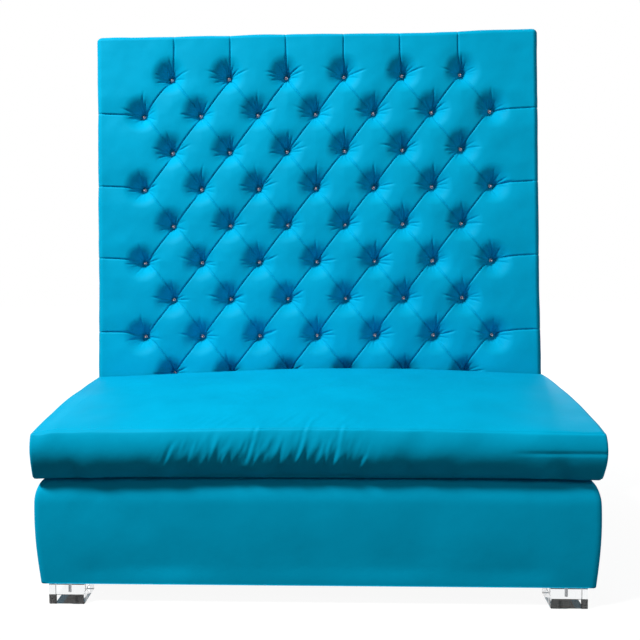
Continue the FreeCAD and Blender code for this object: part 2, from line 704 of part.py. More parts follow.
def front_points(crowns, folds, depths, strip):
    """Points across the front at one level, from the left wall to the right wall."""
    right = half_front(crowns[LAST_STEP], folds[LAST_STEP - 1], depths, strip)
    points = [(-x, depth) for x, depth in right]
    for k in range(-LAST_STEP + 1, LAST_STEP):
        points += bow((folds[k - 1], depths), (folds[k], depths), crowns[k])
    return points + right[-2::-1]


def level_between(row, share):
    """Crowns and folds at a share of the way from a row of buttons down to the next."""
    pit = number("sizes.pit_depth")
    shallow = number("sizes.fold_depth")
    step = number(TUFT_STEP)
    floor = number("sizes.pit_floor")
    crowns = {}
    folds = {}
    for k in range(-LAST_STEP, LAST_STEP + 1):
        away = 1 - share if k in button_steps(row) else share
        crowns[k] = pit * away ** CROWN_POWER
        near = share if k in button_steps(row) else 1 - share
        folds[k] = k * step + floor + (step - 2 * floor) * near
    depths = shallow + (pit - shallow) * abs(2 * share - 1) ** FOLD_POWER
    strip = (1 - share if row % 2 == 0 else share) ** CROWN_POWER * STRIP_SHARE
    return front_points(crowns, folds, depths, strip)


def level_beyond(row, share):
    """Crowns and upright folds at a share of the way from an outer row to the edge of the back."""
    pit = number("sizes.pit_depth")
    shallow = number("sizes.fold_depth")
    step = number(TUFT_STEP)
    floor = number("sizes.pit_floor") * (1 - FOLD_CLOSING * share)
    depths = shallow + (pit - shallow) * (1 - share) ** FOLD_POWER
    crowns = {}
    folds = {}
    for k in range(-LAST_STEP, LAST_STEP + 1):
        button = k in button_steps(row)
        crowns[k] = depths if button else 0.0
        folds[k] = k * step + floor if button else (k + 1) * step - floor
    return front_points(crowns, folds, depths, 0.0)


def front_levels():
    """Height on the slope and points of each level, and the rows whose pit floors start there."""
    floor = number("sizes.pit_floor")
    edge = number("sizes.edge_round")
    top = number("sizes.back_top")
    bottom = number(PAD_BOTTOM)
    levels = []
    plain = level_beyond(1, 1.0)
    for degrees in ROUND_STEPS:
        turn = math.radians(degrees)
        ease = 1 - FOLD_CLOSING * degrees / 90
        fall = edge * (1 - math.cos(turn))
        points = [(x, min(fall + depth * ease, edge)) for x, depth in plain]
        points[0] = plain[0]
        points[-1] = plain[-1]
        levels.append((top - edge * (1 - math.sin(turn)), points, None))
    first = number(row_up(1)) + floor
    for share in LAST_SHARES[:0:-1]:
        levels.append((first + (top - edge - first) * share, level_beyond(1, share), None))
    for row in range(1, BUTTON_ROWS):
        up = number(row_up(row))
        fall = number(TUFT_PITCH) - 2 * floor
        levels.append((up + floor, level_between(row, 0.0), row))
        for share in LEVEL_SHARES:
            levels.append((up - floor - fall * share, level_between(row, share), None))
    last = number(row_up(BUTTON_ROWS))
    levels.append((last + floor, level_beyond(BUTTON_ROWS, 0.0), BUTTON_ROWS))
    for share in LAST_SHARES:
        up = last - floor - (last - floor - bottom) * share
        levels.append((up, level_beyond(BUTTON_ROWS, share), None))
    return levels


AHEAD = Vector(0, -1, 0)
REARWARD = Vector(0, 1, 0)
UPWARD = Vector(0, 0, 1)
DOWNWARD = Vector(0, 0, -1)


def flat_face(points, outward, holes=()):
    """A flat face through points, possibly with holes, that looks outward."""
    wires = [Part.makePolygon(loop + loop[:1]) for loop in [points, *holes]]
    face = Part.Face(wires)
    if face.normalAt(0, 0).dot(outward) < 0:
        face.reverse()
    return face


def hole_corners(x, depth, up):
    half = number("sizes.twine_hole") / 2
    return [Vector(x - half, depth, up - half), Vector(x + half, depth, up - half),
            Vector(x + half, depth, up + half), Vector(x - half, depth, up + half)]


def facets_between(upper, lower, skipped):
    """Two triangles for each step across the front, except over the pit floors."""
    faces = []
    for i in range(len(upper) - 1):
        if any(start <= i < end for start, end in skipped):
            continue
        a, b, c, d = upper[i], upper[i + 1], lower[i + 1], lower[i]
        if a.distanceToPoint(c) < b.distanceToPoint(d):
            corners = ((a, b, c), (a, c, d))
        else:
            corners = ((a, b, d), (b, c, d))
        faces += [flat_face(list(corner), AHEAD) for corner in corners]
    return faces


def floor_spans(row):
    """First and last point, across the front, of each pit floor of a row."""
    outer_button = EDGE_PARTS + STRIP_CORNERS
    first_fold = outer_button + BOW_PARTS // 2
    for k in button_steps(row):
        x = k * number(TUFT_STEP)
        start = first_fold + BOW_PARTS * (k + LAST_STEP - 1)
        if k == -LAST_STEP:
            yield x, outer_button - 1, first_fold
        elif k == LAST_STEP:
            yield x, start, start + BOW_PARTS // 2 + 1
        else:
            yield x, start, start + BOW_PARTS


def tufted_front():
    """Front facets, pit floors and twine channels, with the points of every level."""
    pit = number("sizes.pit_depth")
    room = number("sizes.pad_depth")
    levels = [(up, [Vector(x, depth, up) for x, depth in points], row) for up, points, row in front_levels()]
    faces = []
    for (up, upper, row), (below, lower, ignored) in zip(levels, levels[1:]):
        spans = list(floor_spans(row)) if row else []
        faces += facets_between(upper, lower, [(start, end) for x, start, end in spans])
        middle = (up + below) / 2
        for x, start, end in spans:
            rim = upper[start:end + 1] + lower[start:end + 1][::-1]
            front = hole_corners(x, pit, middle)
            rear = hole_corners(x, room, middle)
            faces.append(flat_face(rim, AHEAD, [front]))
            centre = Vector(x, (pit + room) / 2, middle)
            for i in range(4):
                j = (i + 1) % 4
                wall = [front[i], front[j], rear[j], rear[i]]
                faces.append(flat_face(wall, centre - (front[i] + rear[j]) / 2))
    return faces, [points for up, points, row in levels]


def tufted_back_cover():
    """Buttoned front, side walls, top wall and the wings that wrap the lower posts, sewn into one solid."""
    half = number(HALF)
    inside = number(BACK_INSIDE)
    low = number(PAD_BOTTOM)
    high = number(FRAME_TOP)
    top = number("sizes.back_top")
    foot = number(FRAME_FOOT)
    room = number("sizes.pad_depth")
    front = number(FRAME_FRONT)
    rear = number(FRAME_REAR)
    faces, levels = tufted_front()
    faces.append(flat_face(levels[0] + [Vector(half, rear, top), Vector(-half, rear, top)], UPWARD))
    faces.append(flat_face(levels[-1] + [
        Vector(half, front, low), Vector(inside, front, low), Vector(inside, room, low),
        Vector(-inside, room, low), Vector(-inside, front, low), Vector(-half, front, low)], DOWNWARD))
    for sign, index in ((-1, 0), (1, -1)):
        outer = sign * half
        inner = sign * inside
        outward = Vector(sign, 0, 0)
        rim = [points[index] for points in levels]
        faces.append(flat_face(rim + [Vector(outer, front, low), Vector(outer, front, foot),
                                      Vector(outer, rear, foot), Vector(outer, rear, top)], outward))
        faces.append(flat_face([
            Vector(inner, room, low), Vector(inner, room, high), Vector(inner, rear, high),
            Vector(inner, rear, foot), Vector(inner, front, foot), Vector(inner, front, low)], outward * -1))
        faces.append(flat_face([Vector(inner, front, foot), Vector(outer, front, foot),
                                Vector(outer, rear, foot), Vector(inner, rear, foot)], DOWNWARD))
        faces.append(flat_face([Vector(inner, front, foot), Vector(outer, front, foot),
                                Vector(outer, front, low), Vector(inner, front, low)], AHEAD))
    faces.append(flat_face([
        Vector(-half, rear, foot), Vector(-inside, rear, foot), Vector(-inside, rear, high),
        Vector(inside, rear, high), Vector(inside, rear, foot), Vector(half, rear, foot),
        Vector(half, rear, top), Vector(-half, rear, top)], REARWARD))
    faces.append(flat_face([Vector(-inside, room, high), Vector(inside, room, high),
                            Vector(inside, rear, high), Vector(-inside, rear, high)], DOWNWARD))
    faces.append(flat_face([Vector(-inside, room, low), Vector(inside, room, low), Vector(inside, room, high),
                            Vector(-inside, room, high)], REARWARD,
                           [hole_corners(x, room, up)[::-1] for x, up in button_places()]))
    cover = Part.makeSolid(Part.makeShell(faces))
    return leaned_placement(plain_feature("tufted_back_cover", cover))


def outside_back_panel():
    return prism_body("outside_back_panel", "YZ_Plane",
                      leaned_corners(FRAME_REAR, f"{FRAME_REAR} + sizes.panel_thickness", FRAME_FOOT,
                                     "sizes.back_top - sizes.panel_margin"),
                      f"0 - ({HALF} - sizes.panel_margin)", f"2 * ({HALF} - sizes.panel_margin)")


# Loose bench cushion: cover, foam core and a zip along the rear
SECTION_SHARES = (-1.0, -0.86, -0.5, 0.0, 0.5, 0.86, 1.0)
CROWN_FULLNESS = 0.7
NOSE_SHARE = 0.55


def cushion_form(inset):
    """The cushion as a ruled loft along X through outlines of lines and arcs."""
    low = number("sizes.seat_top + sizes.cloth_gap") + inset
    height = number("sizes.cushion_height") - 2 * inset
    half = number(HALF) - number("sizes.cushion_inset") - inset
    bulge = number("sizes.cushion_bulge")
    front = -number("sizes.front_edge") + bulge + inset
    outlines = []
    for share in SECTION_SHARES:
        x = share * half
        swell = math.cos(share * math.pi / 2)
        crown = number("sizes.cushion_end_crown")
        rise = number("sizes.cushion_end_rise")
        if abs(share) < 1:
            crown += (number("sizes.cushion_crown") - crown) * swell ** CROWN_FULLNESS
            rise += (number("sizes.cushion_rear_rise") - rise) * swell ** CROWN_FULLNESS
        front_y = front + number("sizes.cushion_draw") * swell
        seam = low + height
        rear_seam = seam + rise
        lower_rear = number(slant_y(f"0 - sizes.cushion_gap - {inset}", f"{low}"))
        upper_rear = number(slant_y(f"0 - sizes.cushion_gap - {inset}", f"{rear_seam}"))
        corners = [Vector(x, front_y, low), Vector(x, lower_rear, low), Vector(x, upper_rear, rear_seam),
                   Vector(x, front_y, seam)]
        top = Vector(x, (upper_rear + front_y) / 2, seam + rise / 2 + crown)
        nose = Vector(x, front_y - bulge, low + height * NOSE_SHARE)
        outlines.append(Part.Wire([
            Part.LineSegment(corners[0], corners[1]).toShape(),
            Part.LineSegment(corners[1], corners[2]).toShape(),
            Part.Arc(corners[2], top, corners[3]).toShape(),
            Part.Arc(corners[3], nose, corners[0]).toShape(),
        ]))
    return Part.makeLoft(outlines, True, True)


def seat_cushion():
    cloth = number("sizes.cushion_cloth")
    gap = number("sizes.cloth_gap")
    cover = cushion_form(0).cut(cushion_form(cloth))
    pieces = [plain_feature("seat_cushion_cover", cover)]
    pieces.append(plain_feature("seat_cushion_core", cushion_form(cloth + gap)))
    return pieces


def cushion_zip():
    """Tape on the rear of the cushion and the slider that runs along it."""
    middle = "(sizes.seat_top + sizes.zip_height)"
    lower = f"({middle} - sizes.zip_width / 2)"
    upper = f"({middle} + sizes.zip_width / 2)"
    face = "(0 - sizes.cushion_gap)"
    back = "(sizes.zip_thickness - sizes.cushion_gap)"
    tape = prism_body("cushion_zip", "YZ_Plane", [
        (slant_y(face, lower), lower), (slant_y(back, lower), lower),
        (slant_y(back, upper), upper), (slant_y(face, upper), upper),
    ], "0 - sizes.zip_half", "2 * sizes.zip_half")
    lower = f"({middle} - sizes.slider_width / 2)"
    upper = f"({middle} + sizes.slider_width / 2)"
    far = "(sizes.zip_thickness + sizes.slider_thickness - sizes.cushion_gap)"
    slider = prism_body("zip_slider", "YZ_Plane", [
        (slant_y(back, lower), lower), (slant_y(far, lower), lower),
        (slant_y(far, upper), upper), (slant_y(back, upper), upper),
    ], "sizes.zip_half - sizes.slider_length", "sizes.slider_length")
    return [tape, slider]


nodes += base_frame()
nodes += [corner_blocks(), foot_inserts(), hanger_bolts(), joining_bolts(), dust_cover()]
nodes += feet()
nodes += [webbing(), deck_pad(), base_cover()]
nodes += back_frame()
nodes += [
    leaned_slab("tufting_board", number(BOARD_FRONT), number("sizes.board_thickness")),
    leaned_slab("back_foam_slab", number("sizes.pad_depth"), number("sizes.foam_depth")),
    tufted_back_cover(),
    outside_back_panel(),
    crystal_buttons(),
    button_twines(),
    twine_anchors(),
]
nodes += seat_cushion()
nodes += cushion_zip()
doc.recompute()

# Every object has to be sound before anything is written
for item in doc.Objects:
    if "Invalid" in item.State or "Error" in item.State:
        raise ValueError(f"{item.Name} did not compute: {item.State}")
for node in nodes:
    if node.Shape.isNull() or not node.Shape.isValid():
        raise ValueError(f"{node.Label} has no valid shape")

os.makedirs("parts", exist_ok=True)
for node in nodes:
    node.Shape.exportStep(f"parts/{node.Label}.step")
    print(node.Label, len(node.Shape.Solids), round(node.Shape.Volume / 1000, 1))
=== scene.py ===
import math

import bpy
import numpy as np
from mathutils import Matrix, Vector
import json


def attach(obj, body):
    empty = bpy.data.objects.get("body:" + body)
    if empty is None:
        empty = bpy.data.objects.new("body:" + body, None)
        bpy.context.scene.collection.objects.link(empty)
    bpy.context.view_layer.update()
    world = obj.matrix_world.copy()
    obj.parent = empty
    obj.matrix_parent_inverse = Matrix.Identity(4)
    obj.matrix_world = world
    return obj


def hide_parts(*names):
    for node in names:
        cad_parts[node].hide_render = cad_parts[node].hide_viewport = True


# Looks of the high back settee, in metres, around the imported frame.
# X runs to the right, the front faces -Y and Z is up.
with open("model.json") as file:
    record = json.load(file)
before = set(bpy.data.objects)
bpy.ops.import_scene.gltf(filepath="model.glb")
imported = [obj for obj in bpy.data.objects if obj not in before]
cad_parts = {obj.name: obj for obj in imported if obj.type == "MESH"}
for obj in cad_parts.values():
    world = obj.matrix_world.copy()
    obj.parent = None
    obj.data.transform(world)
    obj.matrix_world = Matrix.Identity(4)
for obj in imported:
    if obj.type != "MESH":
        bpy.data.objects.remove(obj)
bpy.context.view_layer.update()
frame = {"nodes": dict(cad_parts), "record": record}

# Main sizes, as in the construction model
RAKE = 0.07
SLOPE = math.sqrt(1 + RAKE * RAKE)
HALF_WIDTH = 0.685
CROWN_FOOT = 0.1815
BACK_TOP = 1.515
PIT_DEPTH = 0.051
PIT_FLOOR = 0.009
SIDE_STRIP = 0.142
TUFT_MARGIN = 0.132
LOW_ROW = 0.455
BUTTON_ROWS = 9
LAST_STEP = 6
STEP = (HALF_WIDTH - SIDE_STRIP) / LAST_STEP
PITCH = (BACK_TOP - TUFT_MARGIN - LOW_ROW) / (BUTTON_ROWS - 1)
PAD_FOOT = 0.3247
WING_FOOT = 0.061
WING_DEPTH = 0.094
COVER_REAR = 0.1268
COVER_WALL = 0.012
PANEL_THICKNESS = 0.003
PANEL_MARGIN = 0.002
SEAT_TOP = 0.317
FOOT_HEIGHT = 0.051
CUSHION_FOOT = 0.3173
CUSHION_HEIGHT = 0.126
CUSHION_HALF = 0.679
CUSHION_GAP = 0.006

# Two places nearer than this count as one
TINY = 1e-6


# Geometry helpers
def leaned(points):
    """World places of points given as x, depth behind the crowns, and height on the slope."""
    x, depth, up = points[..., 0], points[..., 1], points[..., 2]
    y = CROWN_FOOT + (depth + up * RAKE) / SLOPE
    z = (up - depth * RAKE) / SLOPE
    return np.stack([x, y, z], axis=-1)


def lines(start, end, cell):
    """Evenly spaced values from start to end, no further apart than a cell."""
    return np.linspace(start, end, max(2, int(math.ceil((end - start) / cell)) + 1))


def edged_lines(start, end, cell, fine, margin):
    """Values from start to end that lie closer together near both ends."""
    first = lines(start, start + margin, fine)[:-1]
    inner = lines(start + margin, end - margin, cell)
    last = lines(end - margin, end, fine)[1:]
    return np.concatenate([first, inner, last])


# For each face of a box: the axis across it and the two axes along it
FACE_AXES = {
    "+x": (0, 1, 2), "-x": (0, 2, 1),
    "+y": (1, 2, 0), "-y": (1, 0, 2),
    "+z": (2, 0, 1), "-z": (2, 1, 0),
}


def box_surface(rulings, faces):
    """Points and quads over chosen faces of a box ruled by three sets of lines."""
    points = []
    quads = []
    total = 0
    for face in faces:
        normal, first, second = FACE_AXES[face]
        a, b = np.meshgrid(rulings[first], rulings[second], indexing="ij")
        grid = np.empty(a.shape + (3,))
        grid[..., first] = a
        grid[..., second] = b
        grid[..., normal] = rulings[normal][-1 if face[0] == "+" else 0]
        index = np.arange(a.size).reshape(a.shape) + total
        corners = [index[:-1, :-1], index[1:, :-1], index[1:, 1:], index[:-1, 1:]]
        quads.append(np.stack(corners, axis=-1).reshape(-1, 4))
        points.append(grid.reshape(-1, 3))
        total += a.size
    return merged(np.concatenate(points), np.concatenate(quads))


def merged(points, quads):
    """The same surface with points that share a place made one."""
    keys = np.round(points * 1e6).astype(np.int64)
    _, first, inverse = np.unique(keys, axis=0, return_index=True, return_inverse=True)
    return points[first], inverse.reshape(-1)[quads]


def without_spare(points, quads):
    """The same surface without points that no face uses."""
    used = np.unique(quads)
    renumbered = np.full(len(points), -1)
    renumbered[used] = np.arange(len(used))
    return points[used], renumbered[quads]


def rounded_box(points, low, high, radii):
    """Points of a box's surface moved onto its rounded form, with their outward directions."""
    low, high, radii = (np.asarray(v, float) for v in (low, high, radii))
    core = np.clip(points, low + radii, high - radii)
    away = (points - core) / radii
    away /= np.maximum(np.linalg.norm(away, axis=-1, keepdims=True), 1e-9)
    outward = away / radii
    outward /= np.maximum(np.linalg.norm(outward, axis=-1, keepdims=True), 1e-9)
    return core + radii * away, outward


def smooth_step(value):
    """A share that eases in from 0 and out to 1."""
    value = np.clip(value, 0.0, 1.0)
    return value * value * (3 - 2 * value)


def soft_noise(points, size, seed):
    """Smooth random values between -1 and 1 that change over a distance of about size."""
    table = np.random.RandomState(seed).uniform(-1, 1, 4096)
    place = points / size
    cell = np.floor(place).astype(np.int64)
    share = smooth_step(place - cell)
    total = np.zeros(points.shape[:-1])
    for corner in range(8):
        offset = np.array([corner & 1, corner >> 1 & 1, corner >> 2 & 1])
        weight = np.prod(np.where(offset == 1, share, 1 - share), axis=-1)
        key = (cell + offset) * np.array([73856093, 19349663, 83492791])
        total += weight * table[(key[..., 0] ^ key[..., 1] ^ key[..., 2]) % 4096]
    return total


def mesh_piece(name, points, faces, material, body="settee_frame", smooth=True):
    """A mesh object made from points and faces that rides on a body."""
    mesh = bpy.data.meshes.new(name)
    if isinstance(faces, np.ndarray):
        count = faces.shape[1]
        mesh.vertices.add(len(points))
        mesh.vertices.foreach_set("co", np.asarray(points, np.float32).ravel())
        mesh.loops.add(faces.size)
        mesh.loops.foreach_set("vertex_index", faces.astype(np.int32).ravel())
        mesh.polygons.add(len(faces))
        mesh.polygons.foreach_set("loop_start", np.arange(0, faces.size, count, dtype=np.int32))
        mesh.update(calc_edges=True)
    else:
        mesh.from_pydata([tuple(p) for p in points], [], faces)
    mesh.validate()
    mesh.polygons.foreach_set("use_smooth", [smooth] * len(mesh.polygons))
    mesh.materials.append(material)
    piece = bpy.data.objects.new(name, mesh)
    bpy.context.scene.collection.objects.link(piece)
    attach(piece, body)
    return piece


# Materials
def new_material(name):
    """A material with its node tree and its main shader."""
    material = bpy.data.materials.new(name)
    material.use_nodes = True
    tree = material.node_tree
    shader = tree.nodes["Principled BSDF"]
    return material, tree, shader


def add_node(tree, kind, **values):
    """A node with some of its sockets or properties set."""
    node = tree.nodes.new(kind)
    for key, value in values.items():
        if key in node.inputs:
            node.inputs[key].default_value = value
        else:
            setattr(node, key, value)
    return node


def noise_between(tree, scale, low, high, detail=3.0, stretch=(1.0, 1.0, 1.0)):
    """Noise over the object's own coordinates that runs between two colours."""
    coordinates = add_node(tree, "ShaderNodeTexCoord")
    mapping = add_node(tree, "ShaderNodeMapping", Scale=stretch)
    tree.links.new(coordinates.outputs["Object"], mapping.inputs["Vector"])
    noise = add_node(tree, "ShaderNodeTexNoise", Scale=scale, Detail=detail)
    tree.links.new(mapping.outputs["Vector"], noise.inputs["Vector"])
    ramp = add_node(tree, "ShaderNodeValToRGB")
    ramp.color_ramp.elements[0].position = 0.3
    ramp.color_ramp.elements[0].color = (*low, 1)
    ramp.color_ramp.elements[1].position = 0.7
    ramp.color_ramp.elements[1].color = (*high, 1)
    tree.links.new(noise.outputs["Fac"], ramp.inputs["Fac"])
    return mapping, noise, ramp


def add_bump(tree, shader, heights):
    """Bumps, one upon another: each an output, its strength and its depth in metres."""
    last = None
    for output, strength, distance in heights:
        bump = add_node(tree, "ShaderNodeBump", Strength=strength, Distance=distance)
        tree.links.new(output, bump.inputs["Height"])
        if last:
            tree.links.new(last.outputs["Normal"], bump.inputs["Normal"])
        last = bump
    tree.links.new(last.outputs["Normal"], shader.inputs["Normal"])


def turquoise_fabric():
    """Smooth microfibre: fine weave, slight clouding of its nap and a soft sheen."""
    material, tree, shader = new_material("turquoise_microfibre")
    mapping, _, ramp = noise_between(tree, 7.0, (0.0, 0.324, 0.53), (0.0, 0.363, 0.59), 4.0)
    tree.links.new(ramp.outputs["Color"], shader.inputs["Base Color"])
    weave = add_node(tree, "ShaderNodeTexNoise", Scale=1400.0, Detail=2.0)
    tree.links.new(mapping.outputs["Vector"], weave.inputs["Vector"])
    ripples = add_node(tree, "ShaderNodeTexNoise", Scale=38.0, Detail=3.0)
    tree.links.new(mapping.outputs["Vector"], ripples.inputs["Vector"])
    shader.inputs["Roughness"].default_value = 0.55
    shader.inputs["Specular IOR Level"].default_value = 0.03
    shader.inputs["Sheen Weight"].default_value = 0.02
    shader.inputs["Sheen Roughness"].default_value = 0.4
    shader.inputs["Sheen Tint"].default_value = (0.1, 0.75, 1.0, 1)
    add_bump(tree, shader, [(weave.outputs["Fac"], 0.25, 0.0003), (ripples.outputs["Fac"], 0.12, 0.004)])
    return material


def grained(name, low, high, scale, stretch, roughness, bump):
    """A dull material with streaked or speckled colour and a matching relief."""
    material, tree, shader = new_material(name)
    _, noise, ramp = noise_between(tree, scale, low, high, 5.0, stretch)
    tree.links.new(ramp.outputs["Color"], shader.inputs["Base Color"])
    shader.inputs["Roughness"].default_value = roughness
    add_bump(tree, shader, [(noise.outputs["Fac"], 0.4, bump)])
    return material


def brushed_metal(name, colour, roughness):
    """Plated metal with a faint grain."""
    material, tree, shader = new_material(name)
    _, noise, ramp = noise_between(tree, 160.0, tuple(c * 0.85 for c in colour), colour, 3.0, (1, 1, 0.2))
    tree.links.new(ramp.outputs["Color"], shader.inputs["Base Color"])
    shader.inputs["Metallic"].default_value = 1.0
    shader.inputs["Roughness"].default_value = roughness
    add_bump(tree, shader, [(noise.outputs["Fac"], 0.1, 0.0002)])
    return material


def clear_acrylic():
    """Polished clear plastic of the block feet."""
    material, tree, shader = new_material("clear_acrylic")
    _, noise, ramp = noise_between(tree, 12.0, (0.93, 0.95, 0.96), (0.98, 0.99, 1.0), 2.0)
    tree.links.new(ramp.outputs["Color"], shader.inputs["Base Color"])
    shader.inputs["Roughness"].default_value = 0.02
    shader.inputs["IOR"].default_value = 1.49
    shader.inputs["Transmission Weight"].default_value = 1.0
    add_bump(tree, shader, [(noise.outputs["Fac"], 0.05, 0.0005)])
    return material


def crystal():
    """Foiled glass of the buttons: mirror-like facets."""
    material, tree, shader = new_material("foiled_crystal")
    _, noise, ramp = noise_between(tree, 300.0, (0.22, 0.20, 0.24), (0.55, 0.48, 0.52), 1.0)
    tree.links.new(ramp.outputs["Color"], shader.inputs["Base Color"])
    shader.inputs["Metallic"].default_value = 1.0
    shader.inputs["Roughness"].default_value = 0.06
    shader.inputs["Coat Weight"].default_value = 1.0
    shader.inputs["Coat Roughness"].default_value = 0.02
    return material


FABRIC = turquoise_fabric()
NODE_MATERIALS = {
    "hardwood": grained("planed_hardwood", (0.42, 0.27, 0.14), (0.62, 0.44, 0.26), 30.0, (0.15, 1, 1),
                        0.6, 0.0006),
    "plywood": grained("sanded_plywood", (0.55, 0.40, 0.23), (0.70, 0.55, 0.36), 22.0, (0.2, 1, 1),
                       0.55, 0.0004),
    "zinc_steel": brushed_metal("zinc_steel", (0.66, 0.67, 0.69), 0.32),
    "clear_acrylic": clear_acrylic(),
    "dust_cloth": grained("spunbond_cloth", (0.02, 0.02, 0.025), (0.05, 0.05, 0.06), 900.0, (1, 1, 1),
                          0.9, 0.0004),
    "webbing": grained("elastic_webbing", (0.05, 0.045, 0.04), (0.16, 0.14, 0.13), 420.0, (1, 0.2, 1),
                       0.8, 0.0006),
    "foam": grained("cut_foam", (0.80, 0.74, 0.58), (0.90, 0.85, 0.72), 500.0, (1, 1, 1), 0.9, 0.0006),
    "turquoise_fabric": FABRIC,
    "crystal": crystal(),
    "twine": grained("waxed_twine", (0.55, 0.48, 0.33), (0.75, 0.68, 0.52), 900.0, (1, 0.1, 1), 0.6, 0.0003),
    "toggle_plastic": grained("moulded_plastic", (0.02, 0.02, 0.022), (0.035, 0.035, 0.038), 600.0,
                              (1, 1, 1), 0.45, 0.0001),
    "zip_tape": grained("woven_tape", (0.0, 0.20, 0.36), (0.0, 0.28, 0.46), 800.0, (1, 0.3, 1), 0.7, 0.0004),
}


def dress_nodes():
    """Give each construction piece the material of its slot."""
    for part in frame["record"]["subparts"]:
        node = frame["nodes"][part["node"]]
        node.data.materials.clear()
        node.data.materials.append(NODE_MATERIALS[part["material_slot"]])


# The buttoned back
BACK_CELL = 0.0017
WALL_CELL = 0.006
PANEL_CELL = 0.012
EDGE_RADII = (0.020, 0.034, 0.016)
ROLL_DEPTH = 0.0045
ROLL_REACH = 0.060
ROLL_POWER = 1.6
CREVICE_DEPTH = 0.0050
CREVICE_WIDTH = 0.0019
FOLD_DRAW = 0.028
DRAW_CENTRE = (0.05, 1.0)
HOLLOW_DEPTH = 0.009
HOLLOW_REACH = 0.092
THROAT_DEPTH = 0.0385
THROAT_REACH = 0.052
THROAT_RISE = 0.010
THROAT_POWER = 2.1
PIT_BLEND = 3.0
TOP_SAG = 0.005
FOOT_SPREAD = 0.003
OVERRUN = 0.05
EDGE_SHARE = 0.28
EDGE_FADE = 0.040
WALL_FADE = 0.030
SAG_PLACE = 0.32
SAG_REACH = 0.17
SIDE_BOW = 0.006
CORNER_BOW = 0.011


def button_steps(row):
    """Places across a row that hold a button, counted in steps from the middle."""
    return [k for k in range(-LAST_STEP, LAST_STEP + 1) if (k + row) % 2 == 0]


def row_up(row):
    """Height on the slope of a row of buttons, counted from the top."""
    return BACK_TOP - TUFT_MARGIN - (row - 1) * PITCH


def button_places():
    """X and height on the slope of every button, with its row and its step."""
    rows = range(1, BUTTON_ROWS + 1)
    return [(k * STEP, row_up(row), row, k) for row in rows for k in button_steps(row)]


def fold_lines():
    """Both ends of every fold, and how far it bows sideways."""
    rng = np.random.RandomState(7)
    for row in range(1, BUTTON_ROWS):
        for k in button_steps(row):
            for side in (-1, 1):
                if abs(k + side) > LAST_STEP:
                    continue
                bow = rng.uniform(-0.002, 0.002)
                if row == 1 and abs(k + side) == LAST_STEP:
                    bow = CORNER_BOW * side
                yield (k * STEP, row_up(row)), ((k + side) * STEP, row_up(row + 1)), bow
    for k in button_steps(1):
        yield (k * STEP, row_up(1)), (k * STEP + rng.uniform(-0.004, 0.004), BACK_TOP + OVERRUN), 0.0
    for k in button_steps(BUTTON_ROWS):
        yield (k * STEP, row_up(BUTTON_ROWS)), (k * STEP, PAD_FOOT - OVERRUN), 0.0
    for row in range(2, BUTTON_ROWS + 1, 2):
        for side in (-1, 1):
            rise = rng.uniform(0.002, 0.010)
            end = (side * (HALF_WIDTH + OVERRUN), row_up(row) + rise)
            yield (side * LAST_STEP * STEP, row_up(row)), end, SIDE_BOW * side


def fold_depths(x, up):
    """Depth of the rolls into the folds and of the crevices in them."""
    rolls = np.zeros(x.shape)
    crevices = np.zeros(x.shape)
    for start, end, bow in fold_lines():
        start, end = np.array(start), np.array(end)
        along = end - start
        length = np.hypot(*along)
        along = along / length
        across = np.array([-along[1], along[0]])
        middle = (start + end) / 2
        window = np.hypot(x - middle[0], up - middle[1]) < length / 2 + ROLL_REACH
        dx, du = x[window] - start[0], up[window] - start[1]
        t = (dx * along[0] + du * along[1]) / length
        drawn = -FOLD_DRAW * (middle - np.array(DRAW_CENTRE)) @ across
        bent = (bow + drawn) * (1 - np.abs(2 * np.clip(t, 0, 1) - 1) ** 3)
        side = dx * across[0] + du * across[1] - bent
        beyond = np.maximum(np.maximum(-t, t - 1), 0) * length
        off = np.hypot(side, beyond)
        roll = np.maximum(1 - off / ROLL_REACH, 0) ** ROLL_POWER
        rolls[window] += roll ** 6
        crevice = np.exp(-(off / CREVICE_WIDTH) ** 2)
        crevices[window] = np.maximum(crevices[window], crevice)
    return ROLL_DEPTH * rolls ** (1 / 6), CREVICE_DEPTH * crevices


# Creases that run out of a pit: direction in degrees and length
WHISKERS = (
    (168, 0.070), (184, 0.055), (200, 0.046), (10, 0.066), (27, 0.056), (-12, 0.050), (62, 0.045),
    (91, 0.072), (105, 0.050), (128, 0.045), (236, 0.040), (262, 0.034), (285, 0.036), (312, 0.042),
)
WHISKER_DEPTH = 0.0040
WHISKER_WIDTH = 0.0021
WHISKER_WIDENING = 12
WHISKER_START = 0.008
WHISKER_RAMP = 0.010
LONG_WHISKER = 0.05
FADE_FROM = 0.45


